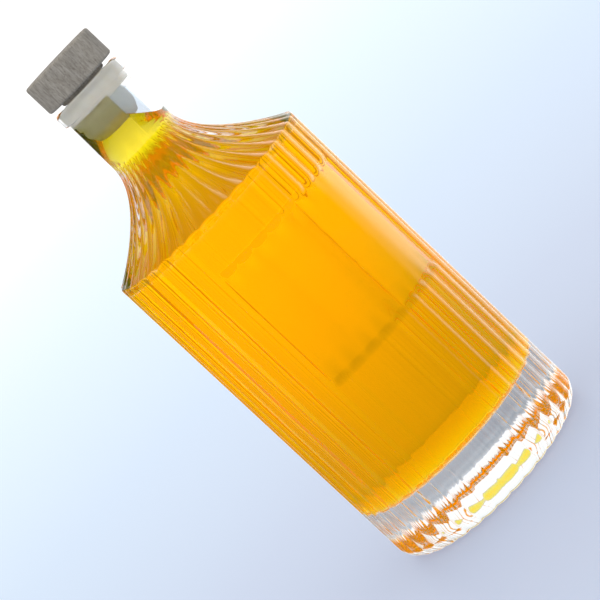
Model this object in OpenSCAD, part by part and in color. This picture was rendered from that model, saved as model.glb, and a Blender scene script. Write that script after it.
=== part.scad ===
// Fluted glass oil bottle with a glued bar-top stopper.
// Origin: centre of the standing ring, +Z up, label panel facing -Y. Millimetres.

/* [Body] */
// Diameter over the rib crests
body_d = 88; // [84:1:96]
// Height of the sharp corner where the shoulder starts
corner_z = 145.5; // [142:0.5:150]
// Radius of the rounded heel
heel_r = 7; // [4:0.5:9]
// Glass thickness under a rib crest
wall_t = 3.2; // [3:0.1:5]
// Thickness of the solid glass base
base_t = 24; // [16:1:28]
// Radius inside the bottom corner of the hollow
hollow_corner_r = 4; // [2:0.5:6]
// Radius of the shallow recess under the base
recess_r = 31; // [20:1:33]
// Depth of the recess under the base
recess_h = 4.5; // [2:0.5:6]

/* [Ribs] */
// Number of rib positions around the body
rib_count = 36; // [36, 40]
// Radius of the rounded rib section
rib_r = 5.4; // [5:0.1:6]
// Height of a rib above the smooth panel
rib_h = 1.3; // [1:0.1:1.4]
// Ribs left out for the label panel
panel_ribs = 9; // [5:2:13]
// Height of the panel's lower edge
panel_z0 = 74.4; // [60:0.2:80]
// Height of the panel's upper edge
panel_z1 = 126.1; // [110:0.1:130]

/* [Neck] */
// Height of the foot of the neck
neck_z = 177; // [175:0.5:178]
// Outer diameter at the foot of the neck
neck_d = 28.6; // [27:0.2:30]
// Outer diameter just under the lip
neck_top_d = 27.8; // [26.6:0.2:28.6]
// Inner diameter of the neck
neck_bore_d = 20.4; // [19.8:0.2:21]
// Outer diameter of the lip ring
lip_d = 31; // [30:0.5:33]
// Height of the lip ring's lower edge
lip_z = 198.8; // [196:0.2:200]
// Height of the lip ring
lip_h = 5.9; // [4:0.1:7]
// Diameter of the throat that grips the plug
throat_d = 19; // [18.5:0.1:19.4]
// Length of the throat
throat_h = 8.5; // [6:0.5:10]

/* [Stopper] */
// Diameter of the wooden head
head_d = 31; // [28:0.5:34]
// Thickness of the wooden head
head_h = 12.4; // [9:0.1:16]
// Radius of the head's edges
head_edge_r = 0.9; // [0.5:0.1:2]
// Diameter of the turned step that rests on the lip
step_d = 20.3; // [20.2:0.1:24]
// Height of the turned step
step_h = 1.4; // [1:0.1:3]
// Length of the plug below the step
plug_l = 19.4; // [14:0.2:20]
// Length of the plug's tapered end
plug_taper_l = 4.3; // [2:0.1:5]
// Diameter of the plug's flat end
plug_end_d = 14.7; // [12:0.1:17]
// Diameter of the spigot glued into the head
spigot_d = 10; // [8:0.5:12]
// Length of the spigot
spigot_l = 7; // [4:0.5:8]

/* [Contents] */
// Height of the oil's surface
fill_z = 179; // [150:0.5:179]

/* [Hidden] */
$fn = 96;
dome_segments = 160;

// Radial play between the plug and the throat
plug_play = 0.05;
// Gap between the step and the lip, and thickness of the glue film
rest_gap = 0.1;
glue_t = 0.2;
// How far the glue film stays inside the plug's edge
glue_margin = 0.5;
// Gap between the oil and the glass
oil_gap = 0.02;
// How far the foot of the shoulder stands out from the neck
seam = 0.15;
// Overlap of solids that are joined or cut
overlap = 1;
// Share of the rib height that is left where the heel meets the standing ring
heel_relief = 0.4;
// How the ribs fade up the shoulder: 1 is evenly, less keeps them high for longer
fade_power = 0.7;
// How far the neck's solid reaches down into the shoulder
neck_root = 10;
// Radii of the lip ring's edges and of the throat's mouth
lip_top_r = 1.8;
lip_low_r = 0.8;
mouth_r = 0.3;
// Radius between the plug's tapered and flat ends
plug_end_r = 1.2;

body_r = body_d / 2;
panel_r = body_r - rib_h;
rib_centre_r = body_r - rib_r;
rib_pitch = 360 / rib_count;
hollow_r = body_r - wall_t;
neck_r = neck_d / 2;
bore_r = neck_bore_d / 2;
throat_r = throat_d / 2;
lip_r = lip_d / 2;
lip_top_z = lip_z + lip_h;
throat_z = lip_top_z - throat_h;

// A round-ended rib meets the panel this far from the centre of its end
rib_end = sqrt(rib_r * rib_r - pow(panel_r - rib_centre_r, 2));

// Cubic curves need handles at both ends: their lengths inwards, upwards and down the neck
outer_handle_in = 12.5;
outer_handle_up = 6.9;
inner_handle_in = 12;
inner_handle_up = 6.6;
neck_handle = 12;
// How far the hollow's shoulder starts and ends below the outer one
inner_start_drop = 4;
inner_end_drop = 1;

// Shoulder curves as cubic control points, from the corner to the neck
shoulder_outer = [
    [body_r, corner_z],
    [body_r - outer_handle_in, corner_z + outer_handle_up],
    [neck_r + seam, neck_z - neck_handle],
    [neck_r + seam, neck_z]
];
inner_start_z = corner_z - inner_start_drop;
inner_end_z = neck_z - inner_end_drop;
shoulder_inner = [
    [hollow_r, inner_start_z],
    [hollow_r - inner_handle_in, inner_start_z + inner_handle_up],
    [bore_r, inner_end_z - neck_handle],
    [bore_r, inner_end_z]
];
outer_steps = 7;
inner_steps = 10;
heel_steps = 4;

// Corners of a rib's outline, in parts of the pitch from its centre
rib_steps = [-0.5, -0.38, -0.2, 0, 0.2, 0.38];

// Rings over a rib's round end, in parts of its length
end_steps = [1, 0.4, 0];

// Heights in the stopper, which rests on the lip
step_z = lip_top_z + rest_gap;
head_z = step_z + step_h;
head_top_z = head_z + head_h;
plug_r = throat_r - plug_play;
plug_top_z = step_z - glue_t;
plug_z = step_z - plug_l;
spigot_r = spigot_d / 2;
spigot_top_z = plug_top_z + spigot_l;

function bezier(p, t) =
    pow(1 - t, 3) * p[0]
    + 3 * pow(1 - t, 2) * t * p[1]
    + 3 * (1 - t) * pow(t, 2) * p[2]
    + pow(t, 3) * p[3];

function curve(p, steps) = [for (i = [0 : steps]) bezier(p, i / steps)];

// Points of an arc in the outline's plane, by centre, radius and end angles
function arc(centre, r, a0, a1, steps = 6) =
    [for (i = [0 : steps]) let (a = a0 + (a1 - a0) * i / steps) centre + r * [cos(a), sin(a)]];

// Distance of the surface from the axis, at an angle from a rib's centre and dz past its end
function rib_edge(a, dz) =
    let (under = pow(rib_r, 2) - pow(rib_centre_r * sin(a), 2) - pow(dz, 2))
    under > 0 ? max(panel_r, rib_centre_r * cos(a) + sqrt(under)) : panel_r;

// How far a height is past the ends of the ribs that stop at the panel
function past_end(z) = max(0, min(z - panel_z0 + rib_end, panel_z1 + rib_end - z));

// How much of the rib height is left on the shoulder where the crests are at radius r
function rib_fade(r) = pow(max(0, (r - neck_r - seam) / (body_r - neck_r - seam)), fade_power);

// One ring of the ribbed outside: crest radius, height, share of the rib height
function ribbed_ring(row) = [
    for (i = [0 : rib_count - 1], step = rib_steps)
        let (
            a = step * rib_pitch,
            turn = i * rib_pitch + a,
            in_panel = abs(turn - 180) < panel_ribs / 2 * rib_pitch,
            d = row[0] - row[2] * (body_r - rib_edge(a, in_panel ? past_end(row[1]) : 0))
        )
        [d * sin(turn), d * cos(turn), row[1]]
];

// Side faces between rings of the same number of points
function side_faces(rings, count) = [
    for (k = [0 : rings - 2], i = [0 : count - 1])
        let (n = (i + 1) % count, low = k * count, high = low + count)
        each [[low + i, high + n, high + i], [low + i, low + n, high + n]]
];

// Outline of the hollow up to the neck, kept clear of the glass by gap
function hollow_outline(gap) = concat(
    [[0, base_t + gap]],
    arc([hollow_r - hollow_corner_r, base_t + hollow_corner_r], hollow_corner_r - gap, -90, 0),
    [for (p = curve(shoulder_inner, inner_steps)) p - [gap, 0]]
);

// Ribbed outside from the standing ring to the foot of the neck
module ribbed_outside() {
    heel = arc([body_r - heel_r, heel_r], heel_r, -90, 0, heel_steps);
    ends = [for (part = end_steps) part * rib_end];
    rows = concat(
        [for (i = [0 : heel_steps]) [heel[i][0], heel[i][1], heel_relief + (1 - heel_relief) * i / heel_steps]],
        [for (e = ends) [body_r, panel_z0 - e, 1]],
        [for (i = [len(ends) - 1 : -1 : 0]) [body_r, panel_z1 + ends[i], 1]],
        [for (p = curve(shoulder_outer, outer_steps)) [p[0], p[1], rib_fade(p[0])]]
    );
    count = rib_count * len(rib_steps);
    polyhedron(
        points = [for (row = rows) each ribbed_ring(row)],
        faces = concat(
            [[for (i = [count - 1 : -1 : 0]) i]],
            side_faces(len(rows), count),
            [[for (i = [0 : count - 1]) (len(rows) - 1) * count + i]]
        ),
        convexity = 6
    );
}

// Plain neck and lip ring
module neck_and_lip() {
    rotate_extrude() polygon(concat(
        [[0, neck_z - neck_root], [neck_r, neck_z - neck_root], [neck_r, neck_z], [neck_top_d / 2, lip_z]],
        arc([lip_r - lip_low_r, lip_z + lip_low_r], lip_low_r, -90, 0),
        arc([lip_r - lip_top_r, lip_top_z - lip_top_r], lip_top_r, 0, 90),
        [[0, lip_top_z]]
    ));
}

// Hollow of the bottle, with the throat and its rounded mouth
module hollow() {
    rotate_extrude() polygon(concat(
        hollow_outline(0),
        [[bore_r, throat_z - (bore_r - throat_r)], [throat_r, throat_z]],
        arc([throat_r + mouth_r, lip_top_z - mouth_r], mouth_r, 180, 90),
        [[throat_r + mouth_r, lip_top_z + overlap], [0, lip_top_z + overlap]]
    ));
}

// Shallow dome under the base that leaves a flat standing ring
module base_recess() {
    dome_r = (pow(recess_r, 2) + pow(recess_h, 2)) / (2 * recess_h);
    rotate_extrude() intersection() {
        translate([0, recess_h - dome_r]) circle(dome_r, $fn = dome_segments);
        translate([0, -overlap]) square([body_r, recess_h + 2 * overlap]);
    }
}

module bottle_glass() {
    color([0.86, 0.93, 0.96, 0.4])
        difference() {
            union() {
                ribbed_outside();
                neck_and_lip();
            }
            hollow();
            base_recess();
        }
}

module oil() {
    surface_r = bore_r - oil_gap;
    color([1, 0.64, 0.03, 0.85])
        rotate_extrude() polygon(concat(
            hollow_outline(oil_gap),
            [[surface_r, fill_z], [0, fill_z]]
        ));
}

module stopper_head() {
    r = head_d / 2;
    hole_r = spigot_r + glue_t;
    color([0.64, 0.59, 0.53])
        rotate_extrude() polygon(concat(
            [[hole_r, step_z], [step_d / 2, step_z], [step_d / 2, head_z]],
            arc([r - head_edge_r, head_z + head_edge_r], head_edge_r, -90, 0),
            arc([r - head_edge_r, head_top_z - head_edge_r], head_edge_r, 0, 90),
            [[0, head_top_z], [0, spigot_top_z + glue_t], [hole_r, spigot_top_z + glue_t]]
        ));
}

module stopper_plug() {
    taper_a = atan2(plug_r - plug_end_d / 2, plug_taper_l);
    end_c = [plug_end_d / 2 - plug_end_r * tan(45 - taper_a / 2), plug_z + plug_end_r];
    color([0.86, 0.82, 0.74])
        rotate_extrude() polygon(concat(
            [[0, plug_z]],
            arc(end_c, plug_end_r, -90, -taper_a),
            [
                [plug_r, plug_z + plug_taper_l],
                [plug_r, plug_top_z],
                [spigot_r, plug_top_z],
                [spigot_r, spigot_top_z],
                [0, spigot_top_z]
            ]
        ));
}

module stopper_glue() {
    film_r = plug_r - glue_margin;
    color([0.9, 0.84, 0.62])
        rotate_extrude() polygon([
            [spigot_r, plug_top_z],
            [film_r, plug_top_z],
            [film_r, step_z],
            [spigot_r + glue_t, step_z],
            [spigot_r + glue_t, spigot_top_z + glue_t],
            [0, spigot_top_z + glue_t],
            [0, spigot_top_z],
            [spigot_r, spigot_top_z]
        ]);
}

bottle_glass();
oil();
stopper_head();
stopper_plug();
stopper_glue();
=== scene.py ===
"""Fluted glass oil bottle with a wooden bar-top stopper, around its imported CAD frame. Metres, +Z up."""
import math

import bmesh
import bpy
from mathutils import Matrix, Vector


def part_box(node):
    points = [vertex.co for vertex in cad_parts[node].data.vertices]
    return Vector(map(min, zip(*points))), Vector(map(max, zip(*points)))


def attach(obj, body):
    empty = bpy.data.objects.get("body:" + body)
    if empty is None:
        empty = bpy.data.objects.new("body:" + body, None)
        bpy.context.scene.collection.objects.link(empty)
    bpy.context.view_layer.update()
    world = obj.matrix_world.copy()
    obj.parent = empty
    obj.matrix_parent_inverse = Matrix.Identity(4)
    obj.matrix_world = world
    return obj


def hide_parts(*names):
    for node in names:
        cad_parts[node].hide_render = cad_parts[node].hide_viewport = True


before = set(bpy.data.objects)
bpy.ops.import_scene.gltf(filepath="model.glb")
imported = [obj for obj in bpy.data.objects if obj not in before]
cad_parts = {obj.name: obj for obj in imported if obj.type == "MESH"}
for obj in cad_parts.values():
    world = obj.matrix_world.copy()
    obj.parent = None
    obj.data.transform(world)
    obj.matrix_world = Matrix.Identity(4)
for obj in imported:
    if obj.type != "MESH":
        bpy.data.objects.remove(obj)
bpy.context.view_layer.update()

MM = 0.001

# ---------------------------------------------------------------- sizes

bottle_low, bottle_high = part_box("bottle_glass")
oil_low, oil_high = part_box("oil")
head_low, head_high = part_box("stopper_head")
plug_low, plug_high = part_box("stopper_plug")

# Body and ribs
BODY_R = bottle_high[0]
LIP_TOP_Z = bottle_high[2]
RIB_COUNT = 36
RIB_R = 5.4 * MM
RIB_H = 1.3 * MM
RIB_CENTRE_R = BODY_R - RIB_R
PANEL_R = BODY_R - RIB_H
PANEL_RIBS = 9
PANEL_Z = (74.4 * MM, 126.1 * MM)
PANEL_MIDDLE = math.radians(-90)
RIB_END = math.sqrt(RIB_R**2 - (PANEL_R - RIB_CENTRE_R) ** 2)
VALLEY_FILLET = 0.4 * MM

# Base
HEEL_R = 7 * MM
HEEL_RELIEF = 0.4
RECESS_R = 31 * MM
RECESS_H = 4.5 * MM
RECESS_EDGE = 0.8 * MM

# Shoulder, a cubic curve with handles at the corner and at the neck
CORNER_Z = 145.5 * MM
CORNER_R = 0.9 * MM
SHOULDER_SLOPE = math.radians(29)
CORNER_HANDLE_IN = 12.2 * MM
NECK_HANDLE = 12 * MM
NECK_Z = 177 * MM
NECK_R = 14.3 * MM
NECK_TOP_R = 13.9 * MM

# The ribs grow deeper up the shoulder by this share, over this much of its radius, and fade at the neck
RIBS_DEEPEN = 1.8
DEEPEN_OVER = 22 * MM
FADE_POWER = 0.5

# Rib depth turns from sideways to the corner's mitre over these distances below and inside it
MITRE_BELOW = 6 * MM
MITRE_INSIDE = 9 * MM

# Lip and throat
LIP_Z = 198.8 * MM
LIP_R = 15.5 * MM
LIP_TOP_R = 1.8 * MM
LIP_LOW_R = 0.8 * MM
LIP_ROOT_R = 0.5 * MM
MOUTH_R = 0.5 * MM
THROAT_H = 8.5 * MM
BORE_R = 10.2 * MM

# Hollow, which the oil fills
HOLLOW_R = oil_high[0] + 0.02 * MM
HOLLOW_Z = oil_low[2] - 0.02 * MM
HOLLOW_CORNER_R = 4 * MM
HOLLOW_SHOULDER = (CORNER_Z - 4 * MM, CORNER_Z + 2.6 * MM, NECK_Z - 13 * MM, NECK_Z - 1 * MM)
HOLLOW_HANDLE_IN = 12 * MM

# The plug touches the throat and the oil wets the glass, so their meshes overlap by a hair
WETTING = 0.06 * MM
PLUG_R = plug_high[0]
THROAT_R = PLUG_R - WETTING / 2

# Mesh density
AROUND = RIB_COUNT * 12
AROUND_SMALL = 320
HEEL_STEPS = 12
RIB_END_STEPS = 14
MITRE_STEPS = 8
CORNER_STEPS = 8
SHOULDER_STEPS = 36
HOLLOW_STEPS = 26
BORE_STEPS = 24
SURFACE_STEPS = 24


# ---------------------------------------------------------------- mesh helpers


def arc(centre, radius, start, end, steps):
    """Points of an arc in the (r, z) plane, by end angles in degrees."""
    points = []
    for i in range(steps + 1):
        a = math.radians(start + (end - start) * i / steps)
        points.append((centre[0] + radius * math.cos(a), centre[1] + radius * math.sin(a)))
    return points


def bezier(p, steps):
    """Points of a cubic curve in the (r, z) plane."""
    points = []
    for i in range(steps + 1):
        t = i / steps
        weights = ((1 - t) ** 3, 3 * (1 - t) ** 2 * t, 3 * (1 - t) * t**2, t**3)
        points.append(tuple(sum(w * q[k] for w, q in zip(weights, p)) for k in (0, 1)))
    return points


def ramp(low, high, steps):
    """Evenly spaced values from low to high, both included."""
    return [low + (high - low) * i / steps for i in range(steps + 1)]


def ease(x):
    """Smooth step from 0 to 1."""
    x = min(1.0, max(0.0, x))
    return x * x * (3 - 2 * x)


def add_object(name, bm):
    """Turn a bmesh into a smooth-shaded object."""
    bmesh.ops.recalc_face_normals(bm, faces=bm.faces)
    mesh = bpy.data.meshes.new(name)
    bm.to_mesh(mesh)
    bm.free()
    mesh.shade_smooth()
    ob = bpy.data.objects.new(name, mesh)
    bpy.context.collection.objects.link(ob)
    return ob


def ring_mesh(rings):
    """Closed bmesh over rings of points, with a pole point before the first and after the last."""
    bm = bmesh.new()
    loops = [[bm.verts.new(p) for p in ring] for ring in rings]
    for low, high in zip(loops, loops[1:]):
        if len(low) == 1 or len(high) == 1:
            pole, ring = (low, high) if len(low) == 1 else (high, low)
            for i in range(len(ring)):
                bm.faces.new((pole[0], ring[i], ring[(i + 1) % len(ring)]))
            continue
        count = len(low)
        for i in range(count):
            n = (i + 1) % count
            bm.faces.new((low[i], low[n], high[n], high[i]))
    return bm


ON_AXIS = 1e-7


def turned_ring(r, z, count):
    """One ring of a turned shape; a single point on the axis."""
    if r < ON_AXIS:
        return [(0, 0, z)]
    turns = [2 * math.pi * i / count for i in range(count)]
    return [(r * math.cos(turn), r * math.sin(turn), z) for turn in turns]


def turned(name, outline, count):
    """Solid of revolution from an outline of (r, z) points that starts and ends on the axis."""
    return add_object(name, ring_mesh([turned_ring(r, z, count) for r, z in outline]))


# ---------------------------------------------------------------- view and free surface


# The bottle leans in the picture, so the oil's free surface is level there and slanted in the frame
VIEW_AZ = math.radians(-23.7)
VIEW_EL = math.radians(8.9)
LEAN = math.radians(46.7)
LOOK_DOWN = math.radians(4)
SURFACE_OFFSET = 3.2 * MM
SURFACE_Z = 185.2 * MM
# Beside the plug the oil creeps up the narrow gap, on the low side of this offset to the right
CREEP_SIDE = 2.7 * MM
CREEP_INTO_THROAT = 1 * MM
MENISCUS_H = 1.7 * MM
MENISCUS_W = 1.2 * MM


def view_axes():
    """Right, up and towards-the-camera directions of the photo's view with the bottle upright."""
    towards = Vector(
        (math.sin(VIEW_AZ) * math.cos(VIEW_EL), -math.cos(VIEW_AZ) * math.cos(VIEW_EL), math.sin(VIEW_EL))
    )
    right = Vector((math.cos(VIEW_AZ), math.sin(VIEW_AZ), 0))
    return right, towards.cross(right), towards


def free_surface():
    """A point on the oil's free surface and its upward normal."""
    right, up, towards = view_axes()
    level = right * math.sin(LEAN) + up * math.cos(LEAN)
    normal = level * math.cos(LOOK_DOWN) + towards * math.sin(LOOK_DOWN)
    return right * SURFACE_OFFSET + Vector((0, 0, SURFACE_Z)), normal


# ---------------------------------------------------------------- glass


def rib_surface(angle, past_end):
    """Distance of the ribbed body from the axis, at an angle from a rib's centre."""
    under = RIB_R**2 - (RIB_CENTRE_R * math.sin(angle)) ** 2 - past_end**2
    rib = RIB_CENTRE_R * math.cos(angle) + (math.sqrt(under) if under > 0 else -math.sqrt(-under))
    # A smooth maximum rounds the valley between the rib and the panel surface
    middle, half = (rib + PANEL_R) / 2, (rib - PANEL_R) / 2
    return middle + math.sqrt(half**2 + VALLEY_FILLET**2)


def crest_dip():
    """What the smooth maximum adds at a crest, taken off again so that crests stay on BODY_R."""
    return rib_surface(0, 0) - BODY_R


def relief(turn, z):
    """How far the surface lies inside the crests at an angle round the bottle and a height."""
    pitch = 2 * math.pi / RIB_COUNT
    angle = (turn + pitch / 2) % pitch - pitch / 2
    from_panel = abs((turn - PANEL_MIDDLE + math.pi) % (2 * math.pi) - math.pi)
    past_end = 0.0
    if from_panel < PANEL_RIBS / 2 * pitch:
        past_end = max(0.0, min(z - PANEL_Z[0] + RIB_END, PANEL_Z[1] + RIB_END - z))
    return BODY_R + crest_dip() - rib_surface(angle, past_end)


def shoulder_fade(r):
    """Share of the rib height on the shoulder where the crests are at radius r."""
    deeper = 1 + RIBS_DEEPEN * ease((BODY_R - r) / DEEPEN_OVER)
    return deeper * max(0.0, (r - NECK_R) / (BODY_R - NECK_R)) ** FADE_POWER


def outer_rows():
    """Rows (r, z, share of rib height, (normal r, normal z), mitre) from the standing ring to the neck."""
    rows = []
    # Heel: the ribs run round it and fade towards the standing ring
    for i in range(HEEL_STEPS + 1):
        a = math.radians(-90 + 90 * i / HEEL_STEPS)
        share = HEEL_RELIEF + (1 - HEEL_RELIEF) * ease(i / HEEL_STEPS)
        normal = (math.cos(a), math.sin(a))
        rows.append((BODY_R - HEEL_R + HEEL_R * normal[0], HEEL_R + HEEL_R * normal[1], share, normal, 0.0))
    # Straight body, with close rows over the round ends of the panel's ribs
    low, high = PANEL_Z
    past, away = 0.6 * MM, 8 * MM
    heights = [25 * MM, 50 * MM]
    heights += ramp(low - RIB_END, low + past, RIB_END_STEPS)
    heights += [low + away, high - away]
    heights += ramp(high - past, high + RIB_END, RIB_END_STEPS)
    heights += [high + away]
    rows += [(BODY_R, z, 1.0, (1, 0), 0.0) for z in heights]
    rise = 90 - math.degrees(SHOULDER_SLOPE)
    top = CORNER_Z - CORNER_R * math.tan(math.radians(rise / 2))
    for z in ramp(top - MITRE_BELOW, top, MITRE_STEPS)[:-1]:
        rows.append((BODY_R, z, 1.0, (1, 0), ease((z - top + MITRE_BELOW) / MITRE_BELOW)))
    # Rounded corner
    for r, z in arc((BODY_R - CORNER_R, top), CORNER_R, 0, rise, CORNER_STEPS):
        normal = ((r - BODY_R + CORNER_R) / CORNER_R, (z - top) / CORNER_R)
        rows.append((r, z, 1.0, normal, 1.0))
    # Swept shoulder
    start = rows[-1][:2]
    control = [
        start,
        (start[0] - CORNER_HANDLE_IN, start[1] + CORNER_HANDLE_IN * math.tan(SHOULDER_SLOPE)),
        (NECK_R, NECK_Z - NECK_HANDLE),
        (NECK_R, NECK_Z),
    ]
    curve = bezier(control, SHOULDER_STEPS)
    for i in range(1, len(curve)):
        before, after = curve[i - 1], curve[min(i + 1, len(curve) - 1)]
        along = Vector((after[0] - before[0], after[1] - before[1])).normalized()
        r, z = curve[i]
        mitre = 1 - ease((BODY_R - r) / MITRE_INSIDE)
        rows.append((r, z, shoulder_fade(r), (along.y, -along.x), mitre))
    return rows


def outer_rings():
    """Rings of the ribbed outside."""
    half_turn = math.radians(90) - SHOULDER_SLOPE
    mitre_dir = (1.0, math.tan(half_turn / 2))
    turns = [2 * math.pi * i / AROUND for i in range(AROUND)]
    rings = []
    for r, z, share, normal, mitre in outer_rows():
        move = tuple(mitre * m + (1 - mitre) * n for m, n in zip(mitre_dir, normal))
        ring = []
        for turn in turns:
            depth = share * relief(turn, z)
            d = r - depth * move[0]
            ring.append((d * math.cos(turn), d * math.sin(turn), max(0.0, z - depth * move[1])))
        rings.append(ring)
    return rings


def hollow_outline(grow):
    """Outline of the hollow from its bottom centre to the neck, grown outwards a little for the oil."""
    r = HOLLOW_R + grow
    bottom = HOLLOW_Z - grow
    corner = HOLLOW_CORNER_R
    points = [(0, bottom), (r * 0.5, bottom)]
    points += arc((r - corner, bottom + corner), corner, -90, 0, 8)
    radii = (r, r - HOLLOW_HANDLE_IN, BORE_R + grow, BORE_R + grow)
    return points + bezier(list(zip(radii, HOLLOW_SHOULDER)), HOLLOW_STEPS)


def make_glass():
    """The bottle's glass as one closed mesh: base, outside, lip, throat and hollow."""
    dome_r = (RECESS_R**2 + RECESS_H**2) / (2 * RECESS_H)
    under = []
    for r in ramp(0, RECESS_R, 10):
        under.append((r, RECESS_H - dome_r + math.sqrt(dome_r**2 - r**2)))
    under[-1] = (RECESS_R, 0)
    under.append((RECESS_R + RECESS_EDGE, 0))
    rings = [turned_ring(r, z, AROUND) for r, z in under]
    rings += outer_rings()
    throat_z = LIP_TOP_Z - THROAT_H
    lip = [
        (NECK_R, NECK_Z + 2 * MM),
        ((NECK_R + NECK_TOP_R) / 2, (NECK_Z + LIP_Z) / 2),
        (NECK_TOP_R, LIP_Z - 1.2 * MM),
    ]
    lip += arc((NECK_TOP_R + LIP_ROOT_R, LIP_Z - LIP_ROOT_R), LIP_ROOT_R, 180, 90, 4)
    lip += arc((LIP_R - LIP_LOW_R, LIP_Z + LIP_LOW_R), LIP_LOW_R, -90, 0, 8)
    lip += arc((LIP_R - LIP_TOP_R, LIP_TOP_Z - LIP_TOP_R), LIP_TOP_R, 0, 90, 12)
    lip += arc((THROAT_R + MOUTH_R, LIP_TOP_Z - MOUTH_R), MOUTH_R, 90, 180, 6)
    throat_faces = (len(rings) + len(lip) - 1) * AROUND
    lip.append((THROAT_R, throat_z))
    # Close rings down the bore, where the free surface crosses it
    bore_top = throat_z - 2 * (BORE_R - THROAT_R)
    lip += [(BORE_R, z) for z in ramp(bore_top, NECK_Z, BORE_STEPS)]
    rings += [turned_ring(r, z, AROUND) for r, z in lip]
    hollow_faces = len(rings) * AROUND
    rings += [turned_ring(r, z, AROUND) for r, z in reversed(hollow_outline(0))]
    glass = add_object("glass_bottle", ring_mesh(rings))
    # Where the oil touches the hollow, and where the throat and bore are bare and take painted shade
    point, normal = free_surface()
    right = view_axes()[0]
    wetted = glass.data.attributes.new("wetted", "FLOAT", "FACE")
    bare = glass.data.attributes.new("bore_painted_shade", "FLOAT", "FACE")
    for face in glass.data.polygons:
        below = (face.center - point).dot(normal) < 0
        dry_side = face.center.dot(right) > CREEP_SIDE or face.center.z > throat_z
        wetted.data[face.index].value = float(face.index >= hollow_faces and below)
        bare.data[face.index].value = float(face.index >= throat_faces and dry_side and not below)
    return glass


# ---------------------------------------------------------------- oil


def surface_height(x, y, limit):
    """Height of the oil in the neck: slanted, curled up at the wall, at the limit beside the plug."""
    point, normal = free_surface()
    if Vector((x, y, 0)).dot(view_axes()[0]) < CREEP_SIDE:
        return limit
    level = point.z - ((x - point.x) * normal.x + (y - point.y) * normal.y) / normal.z
    from_wall = BORE_R + WETTING - math.hypot(x, y)
    return min(limit, level + MENISCUS_H * math.exp(-from_wall / MENISCUS_W))


def make_oil():
    """The oil as one closed mesh that overlaps the glass by a hair."""
    radius = BORE_R + WETTING
    limit = LIP_TOP_Z - THROAT_H + CREEP_INTO_THROAT
    rings = [turned_ring(r, z, AROUND_SMALL) for r, z in hollow_outline(WETTING)]
    # Rings lie closest beside the wall, where the surface curls up
    for k in ramp(0, 1, SURFACE_STEPS):
        ring = turned_ring(radius * (1 - k**2), 0, AROUND_SMALL)
        rings.append([(x, y, surface_height(x, y, limit)) for x, y, _ in ring])
    return add_object("oil_fill", ring_mesh(rings))


# ---------------------------------------------------------------- stopper


HEAD_EDGE_R = 1.0 * MM
STEP_R = 10.15 * MM
STEP_H = 1.4 * MM
STEP_EDGE_R = 0.3 * MM
PLUG_TAPER_L = 4.3 * MM
PLUG_END_R = 7.35 * MM
PLUG_ROUND = 1.2 * MM
SPIGOT_R = 5 * MM
SPIGOT_L = 7 * MM
GLUE_T = 0.2 * MM


def make_head():
    """The turned wooden head with its step and the blind hole for the spigot."""
    r, top = head_high[0], head_high[2]
    step_z = head_low[2]
    face_z = step_z + STEP_H
    hole_top = plug_high[2] + GLUE_T
    hole_r = SPIGOT_R + GLUE_T
    outline = [(0, hole_top), (hole_r, hole_top), (hole_r, step_z)]
    outline += arc((STEP_R - STEP_EDGE_R, step_z + STEP_EDGE_R), STEP_EDGE_R, -90, 0, 4)
    outline += [(STEP_R, face_z - 0.1 * MM), (STEP_R + 0.1 * MM, face_z)]
    outline += [(k * r, face_z) for k in (0.75, 0.85)]
    outline += arc((r - HEAD_EDGE_R, face_z + HEAD_EDGE_R), HEAD_EDGE_R, -90, 0, 8)
    outline += [(r, z) for z in ramp(face_z + 2 * MM, top - 2 * MM, 6)]
    outline += arc((r - HEAD_EDGE_R, top - HEAD_EDGE_R), HEAD_EDGE_R, 0, 90, 8)
    outline += [(k * r, top) for k in (0.8, 0.6, 0.4, 0.2)] + [(0, top)]
    return turned("wood_head", outline, AROUND_SMALL)


def make_plug():
    """The synthetic-cork plug with its tapered end and the spigot."""
    bottom = plug_low[2]
    top = plug_high[2] - SPIGOT_L
    taper = math.degrees(math.atan2(PLUG_R - PLUG_END_R, PLUG_TAPER_L))
    shift = PLUG_ROUND * math.tan(math.radians(45 - taper / 2))
    outline = [(0, bottom), (PLUG_END_R * 0.5, bottom)]
    outline += arc((PLUG_END_R - shift, bottom + PLUG_ROUND), PLUG_ROUND, -90, -taper, 8)
    # The taper meets the straight side in a soft bend
    bend = bottom + PLUG_TAPER_L
    outline += [(PLUG_R - 0.35 * MM, bend - 0.7 * MM), (PLUG_R - 0.08 * MM, bend)]
    outline += [(PLUG_R, z) for z in ramp(bend + 0.8 * MM, top - 0.4 * MM, 6)]
    outline += [(PLUG_R - 0.3 * MM, top), (SPIGOT_R, top), (SPIGOT_R, plug_high[2]), (0, plug_high[2])]
    return turned("cork_plug", outline, AROUND_SMALL)


# ---------------------------------------------------------------- materials


def new_material(name):
    """Empty node material with a Principled shader."""
    material = bpy.data.materials.new(name)
    material.use_nodes = True
    nodes, links = material.node_tree.nodes, material.node_tree.links
    return material, nodes, links, nodes["Principled BSDF"]


def noise(nodes, links, vector, scale, detail=4.0, roughness=0.5):
    """Noise texture's factor socket over a vector socket."""
    node = nodes.new("ShaderNodeTexNoise")
    node.inputs["Scale"].default_value = scale
    node.inputs["Detail"].default_value = detail
    node.inputs["Roughness"].default_value = roughness
    links.new(vector, node.inputs["Vector"])
    return node.outputs["Fac"]


def colour_ramp(nodes, links, source, stops):
    """Colour ramp over a factor socket, from (position, colour) stops."""
    node = nodes.new("ShaderNodeValToRGB")
    while len(node.color_ramp.elements) < len(stops):
        node.color_ramp.elements.new(0.5)
    for element, (position, colour) in zip(node.color_ramp.elements, stops):
        element.position = position
        element.color = (*colour, 1)
    links.new(source, node.inputs["Fac"])
    return node.outputs["Color"]


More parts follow.
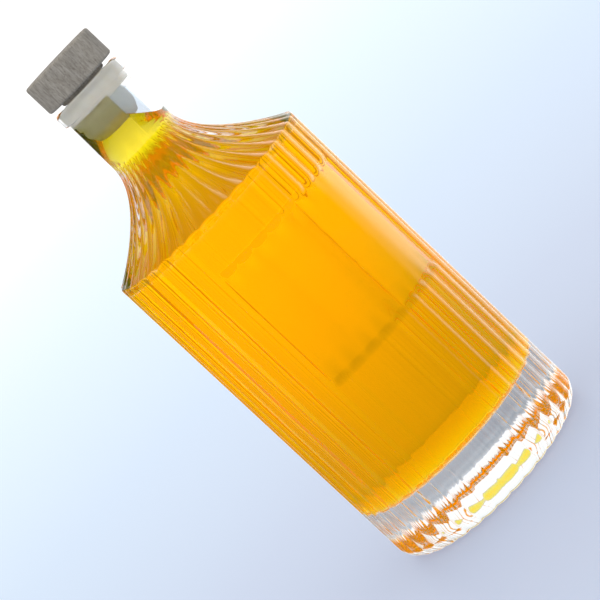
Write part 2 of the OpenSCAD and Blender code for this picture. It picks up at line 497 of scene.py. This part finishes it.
def mapped(nodes, links, scale=(1, 1, 1)):
    """Object coordinates, scaled."""
    coords = nodes.new("ShaderNodeTexCoord")
    node = nodes.new("ShaderNodeMapping")
    node.inputs["Scale"].default_value = scale
    links.new(coords.outputs["Object"], node.inputs["Vector"])
    return node.outputs["Vector"]


def bump(nodes, links, height, strength, distance):
    """Bump node's normal over a height socket."""
    node = nodes.new("ShaderNodeBump")
    node.inputs["Strength"].default_value = strength
    node.inputs["Distance"].default_value = distance
    links.new(height, node.inputs["Height"])
    return node.outputs["Normal"]


GLASS_IOR = 1.52
OIL_IOR = 1.47
# Painted shade: grey-blue tint that darkens the bare throat and bore
BORE_PAINTED_SHADE = (0.66, 0.74, 0.82, 1)


def glass_material():
    """Clear flint glass with the faint waviness of a moulded surface and painted shade, a grey-blue tint,
    on the bare throat and bore.
    """
    material, nodes, links, shader = new_material("clear_glass")
    shader.inputs["Roughness"].default_value = 0.0
    shader.inputs["IOR"].default_value = GLASS_IOR
    shader.inputs["Transmission Weight"].default_value = 1.0
    waves = noise(nodes, links, mapped(nodes, links), 90.0, 2.0)
    links.new(bump(nodes, links, waves, 0.12, 0.0004), shader.inputs["Normal"])
    # Glass that oil wets mirrors nothing
    wetted = nodes.new("ShaderNodeAttribute")
    wetted.attribute_name = "wetted"
    dry = nodes.new("ShaderNodeMath")
    dry.operation = "SUBTRACT"
    dry.inputs[0].default_value = 1.0
    links.new(wetted.outputs["Fac"], dry.inputs[1])
    links.new(dry.outputs["Value"], shader.inputs["Specular Tint"])
    # Painted shade: the bare throat and bore are tinted grey-blue
    bare = nodes.new("ShaderNodeAttribute")
    bare.attribute_name = "bore_painted_shade"
    painted_bore_shade = nodes.new("ShaderNodeMixRGB")
    painted_bore_shade.inputs["Color1"].default_value = (1, 1, 1, 1)
    painted_bore_shade.inputs["Color2"].default_value = BORE_PAINTED_SHADE
    links.new(bare.outputs["Fac"], painted_bore_shade.inputs["Fac"])
    links.new(painted_bore_shade.outputs["Color"], shader.inputs["Base Color"])
    absorb = nodes.new("ShaderNodeVolumeAbsorption")
    absorb.inputs["Color"].default_value = (0.75, 0.93, 0.9, 1)
    absorb.inputs["Density"].default_value = 1.2
    links.new(absorb.outputs["Volume"], nodes["Material Output"].inputs["Volume"])
    return material


def oil_material():
    """Golden oil: clear liquid whose colour deepens from yellow to amber with depth, lit from within by a
    painted amber glow. It mirrors nothing.
    """
    material, nodes, links, shader = new_material("golden_oil")
    shader.inputs["Base Color"].default_value = (1, 1, 1, 1)
    shader.inputs["Roughness"].default_value = 0.0
    shader.inputs["IOR"].default_value = OIL_IOR
    shader.inputs["Transmission Weight"].default_value = 1.0
    shader.inputs["Specular Tint"].default_value = (0, 0, 0, 1)
    absorb = nodes.new("ShaderNodeVolumeAbsorption")
    absorb.inputs["Color"].default_value = (0.995, 0.937, 0.0, 1)
    absorb.inputs["Density"].default_value = 250.0
    # Painted glow: the oil's volume emits amber light, which keeps its deepest parts amber
    painted_glow = nodes.new("ShaderNodeEmission")
    painted_glow.inputs["Color"].default_value = (0.85, 1.0, 0.0, 1)
    painted_glow.inputs["Strength"].default_value = 3.6
    both = nodes.new("ShaderNodeAddShader")
    links.new(absorb.outputs["Volume"], both.inputs[0])
    links.new(painted_glow.outputs["Emission"], both.inputs[1])
    links.new(both.outputs["Shader"], nodes["Material Output"].inputs["Volume"])
    return material


def wood_material():
    """Greyed, unvarnished turned wood: fine upright grain, small dark pores and soft cloudy tone."""
    material, nodes, links, shader = new_material("turned_wood")
    streaks = noise(nodes, links, mapped(nodes, links, (1500, 1500, 260)), 1.0, 5.0, 0.65)
    pores = noise(nodes, links, mapped(nodes, links, (2600, 2600, 900)), 1.0, 2.0)
    broad = noise(nodes, links, mapped(nodes, links, (150, 150, 60)), 1.0, 3.0)
    browns = [(0.3, (0.19, 0.165, 0.135)), (0.5, (0.27, 0.245, 0.21)), (0.7, (0.34, 0.315, 0.28))]
    base = colour_ramp(nodes, links, streaks, browns)
    pits = colour_ramp(nodes, links, pores, [(0.33, (0.72, 0.7, 0.68)), (0.45, (1.0, 1.0, 1.0))])
    tone = colour_ramp(nodes, links, broad, [(0.3, (0.85, 0.84, 0.83)), (0.7, (1.08, 1.06, 1.03))])
    colour = base
    for layer in (pits, tone):
        mix = nodes.new("ShaderNodeMixRGB")
        mix.blend_type = "MULTIPLY"
        mix.inputs["Fac"].default_value = 1.0
        links.new(colour, mix.inputs["Color1"])
        links.new(layer, mix.inputs["Color2"])
        colour = mix.outputs["Color"]
    links.new(colour, shader.inputs["Base Color"])
    shader.inputs["Roughness"].default_value = 0.78
    shader.inputs["Specular IOR Level"].default_value = 0.25
    links.new(bump(nodes, links, streaks, 0.3, 0.0001), shader.inputs["Normal"])
    return material


def plug_material():
    """Off-white foamed polymer with a fine skin and faint mottling."""
    material, nodes, links, shader = new_material("synthetic_cork")
    fine = noise(nodes, links, mapped(nodes, links), 1800.0, 3.0, 0.6)
    mottle = noise(nodes, links, mapped(nodes, links), 260.0, 3.0)
    colour = colour_ramp(nodes, links, mottle, [(0.3, (0.84, 0.79, 0.68)), (0.7, (0.9, 0.86, 0.76))])
    links.new(colour, shader.inputs["Base Color"])
    shader.inputs["Roughness"].default_value = 0.6
    shader.inputs["Specular IOR Level"].default_value = 0.3
    shader.inputs["Subsurface Weight"].default_value = 0.7
    shader.inputs["Subsurface Radius"].default_value = (1.0, 0.92, 0.75)
    shader.inputs["Subsurface Scale"].default_value = 0.004
    links.new(bump(nodes, links, fine, 0.3, 0.0001), shader.inputs["Normal"])
    return material


def glue_material():
    """Set hot-melt adhesive, waxy and slightly yellow."""
    material, nodes, links, shader = new_material("glue")
    mottle = noise(nodes, links, mapped(nodes, links), 400.0, 2.0)
    colour = colour_ramp(nodes, links, mottle, [(0.3, (0.62, 0.52, 0.34)), (0.7, (0.7, 0.6, 0.42))])
    links.new(colour, shader.inputs["Base Color"])
    shader.inputs["Roughness"].default_value = 0.4
    return material


# ---------------------------------------------------------------- build


def place(piece, body, node, material):
    """Give a piece its material and body, and let it stand for a CAD node."""
    piece.data.materials.append(material)
    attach(piece, body)
    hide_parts(node)


place(make_glass(), "bottle", "bottle_glass", glass_material())
place(make_oil(), "bottle", "oil", oil_material())
place(make_head(), "stopper", "stopper_head", wood_material())
place(make_plug(), "stopper", "stopper_plug", plug_material())

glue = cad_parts["stopper_glue"]
for material_slot in glue.material_slots:
    material_slot.material = glue_material()


# ---------------------------------------------------------------- stage, light and camera


# Directions of the bright side that the glass mirrors and of the light that comes through it
MIRRORED_FROM = (0.804, 0.587, 0.0)
BEHIND_ABOVE = (0.55 * math.sin(-VIEW_AZ), 0.55 * math.cos(VIEW_AZ), 0.835)

# Strengths of the surroundings: seen directly, lighting the stopper, and as (facing, strength) ends
SEEN_STRENGTH = 1.1
LIT_STRENGTH = 1.4
THROUGH_ENDS = ((-0.55, 0.7), (0.15, 1.12))
MIRRORED_ENDS = ((0.5, 0.03), (0.9, 1.8))

# The floor's colours run over the logarithm of the distance from the bottle in metres. They paint shade:
# cool and dim near the bottle, white further off, and for rays through the glass darkest just round the
# bottle
NEAR_LOG, FAR_LOG = -1.4, 0.6
FLOOR_HALF = 80
FLOOR_SEEN_PAINTED_SHADE = [
    (0.0, (0.34, 0.38, 0.5)),
    (0.35, (0.39, 0.45, 0.58)),
    (0.6, (0.46, 0.56, 0.69)),
    (0.77, (0.56, 0.67, 0.75)),
    (0.88, (0.66, 0.73, 0.75)),
    (1.0, (0.82, 0.8, 0.77)),
]
FLOOR_THROUGH_GLASS_PAINTED_SHADE = [
    (0.0, (0.5, 0.52, 0.56)),
    (0.08, (0.5, 0.52, 0.56)),
    (0.15, (0.17, 0.19, 0.23)),
    (0.4, (0.36, 0.4, 0.47)),
    (0.7, (0.76, 0.8, 0.86)),
    (1.0, (1.0, 1.0, 1.0)),
]


def floor_material():
    """Pale floor that glows, with painted shade: cool and dimmer near the bottle, white further off."""
    material, nodes, links, shader = new_material("pale_floor_painted_shade")
    distance = nodes.new("ShaderNodeVectorMath")
    distance.operation = "LENGTH"
    links.new(mapped(nodes, links), distance.inputs[0])
    spread = nodes.new("ShaderNodeMath")
    spread.operation = "LOGARITHM"
    spread.inputs[1].default_value = 10.0
    links.new(distance.outputs["Value"], spread.inputs[0])
    along = nodes.new("ShaderNodeMapRange")
    along.inputs["From Min"].default_value = NEAR_LOG
    along.inputs["From Max"].default_value = FAR_LOG
    links.new(spread.outputs["Value"], along.inputs["Value"])
    # Painted shade: the floor's glow is darker and bluer near the bottle, and darker still just round it
    # for rays through the glass
    painted_glow = colour_ramp(nodes, links, along.outputs["Result"], FLOOR_SEEN_PAINTED_SHADE)
    through = colour_ramp(nodes, links, along.outputs["Result"], FLOOR_THROUGH_GLASS_PAINTED_SHADE)
    shader.inputs["Base Color"].default_value = (0.16, 0.17, 0.19, 1)
    shader.inputs["Roughness"].default_value = 0.5
    shader.inputs["Specular IOR Level"].default_value = 0.1
    path = nodes.new("ShaderNodeLightPath")
    seen = nodes.new("ShaderNodeMixRGB")
    links.new(path.outputs["Is Transmission Ray"], seen.inputs["Fac"])
    links.new(painted_glow, seen.inputs["Color1"])
    links.new(through, seen.inputs["Color2"])
    links.new(seen.outputs["Color"], shader.inputs["Emission Color"])
    shader.inputs["Emission Strength"].default_value = 1.0
    return material


def make_stage():
    """Large pale floor under the bottle, left out of what the glass mirrors."""
    bm = bmesh.new()
    bmesh.ops.create_grid(bm, x_segments=4, y_segments=4, size=FLOOR_HALF)
    floor = add_object("stage_floor", bm)
    floor.data.materials.append(floor_material())
    floor.visible_glossy = False


def facing(nodes, links, vector, direction, low, high):
    """Smooth rise from one value to another as a vector turns towards a direction."""
    along = nodes.new("ShaderNodeVectorMath")
    along.operation = "DOT_PRODUCT"
    along.inputs[1].default_value = direction
    links.new(vector, along.inputs[0])
    node = nodes.new("ShaderNodeMapRange")
    node.interpolation_type = "SMOOTHSTEP"
    node.inputs["From Min"].default_value, node.inputs["To Min"].default_value = low
    node.inputs["From Max"].default_value, node.inputs["To Max"].default_value = high
    links.new(along.outputs["Value"], node.inputs["Value"])
    return node.outputs["Result"]


def choose(nodes, links, switch, off, on):
    """One of two strengths, each a number or a socket, by a socket that is 0 or 1."""
    node = nodes.new("ShaderNodeMapRange")
    links.new(switch, node.inputs["Value"])
    for name, value in (("To Min", off), ("To Max", on)):
        if isinstance(value, float):
            node.inputs[name].default_value = value
        else:
            links.new(value, node.inputs[name])
    return node.outputs["Result"]


def make_world():
    """Bright white surroundings, with the dim front of a studio as seen in and through the glass."""
    world = bpy.data.worlds.new("studio")
    bpy.context.scene.world = world
    world.use_nodes = True
    nodes, links = world.node_tree.nodes, world.node_tree.links
    background = nodes["Background"]
    background.inputs["Color"].default_value = (0.98, 0.99, 1.0, 1)
    towards = nodes.new("ShaderNodeTexCoord").outputs["Generated"]
    through = facing(nodes, links, towards, BEHIND_ABOVE, *THROUGH_ENDS)
    mirrored = facing(nodes, links, towards, MIRRORED_FROM, *MIRRORED_ENDS)
    # Refracted rays count as glossy too, so they are taken off to leave the reflected ones
    path = nodes.new("ShaderNodeLightPath")
    reflected = nodes.new("ShaderNodeMath")
    reflected.operation = "SUBTRACT"
    reflected.use_clamp = True
    links.new(path.outputs["Is Glossy Ray"], reflected.inputs[0])
    links.new(path.outputs["Is Transmission Ray"], reflected.inputs[1])
    strength = choose(nodes, links, path.outputs["Is Transmission Ray"], SEEN_STRENGTH, through)
    strength = choose(nodes, links, reflected.outputs["Value"], strength, mirrored)
    strength = choose(nodes, links, path.outputs["Diffuse Depth"], strength, LIT_STRENGTH)
    links.new(strength, background.inputs["Strength"])


LENS = 156
CAMERA_DISTANCE = 0.936
AIM_HEIGHT = 96 * MM
AIM_LEFT = 2.7 * MM


def make_camera():
    """Long lens at the photo's viewing angle, rolled so that the bottle leans as it does there."""
    right, up, towards = view_axes()
    aim = Vector((0, 0, AIM_HEIGHT)) - right * AIM_LEFT
    data = bpy.data.cameras.new("camera")
    data.lens = LENS
    data.sensor_width = 36
    data.clip_start = 0.01
    data.clip_end = 200
    camera = bpy.data.objects.new("camera", data)
    roll = Matrix.Rotation(-LEAN, 3, "Z")
    axes = Matrix((right, up, towards)).transposed() @ roll
    camera.matrix_world = Matrix.Translation(aim + towards * CAMERA_DISTANCE) @ axes.to_4x4()
    bpy.context.collection.objects.link(camera)
    bpy.context.scene.camera = camera


def set_look():
    """Plain colour handling, and enough bounces for light to cross glass and oil."""
    scene = bpy.context.scene
    scene.view_settings.view_transform = "Standard"
    scene.cycles.max_bounces = 32
    scene.cycles.transmission_bounces = 32
    scene.cycles.glossy_bounces = 16
    scene.cycles.caustics_reflective = True
    scene.cycles.caustics_refractive = True
    scene.cycles.sample_clamp_indirect = 0.0


set_look()
make_stage()
make_world()
make_camera()
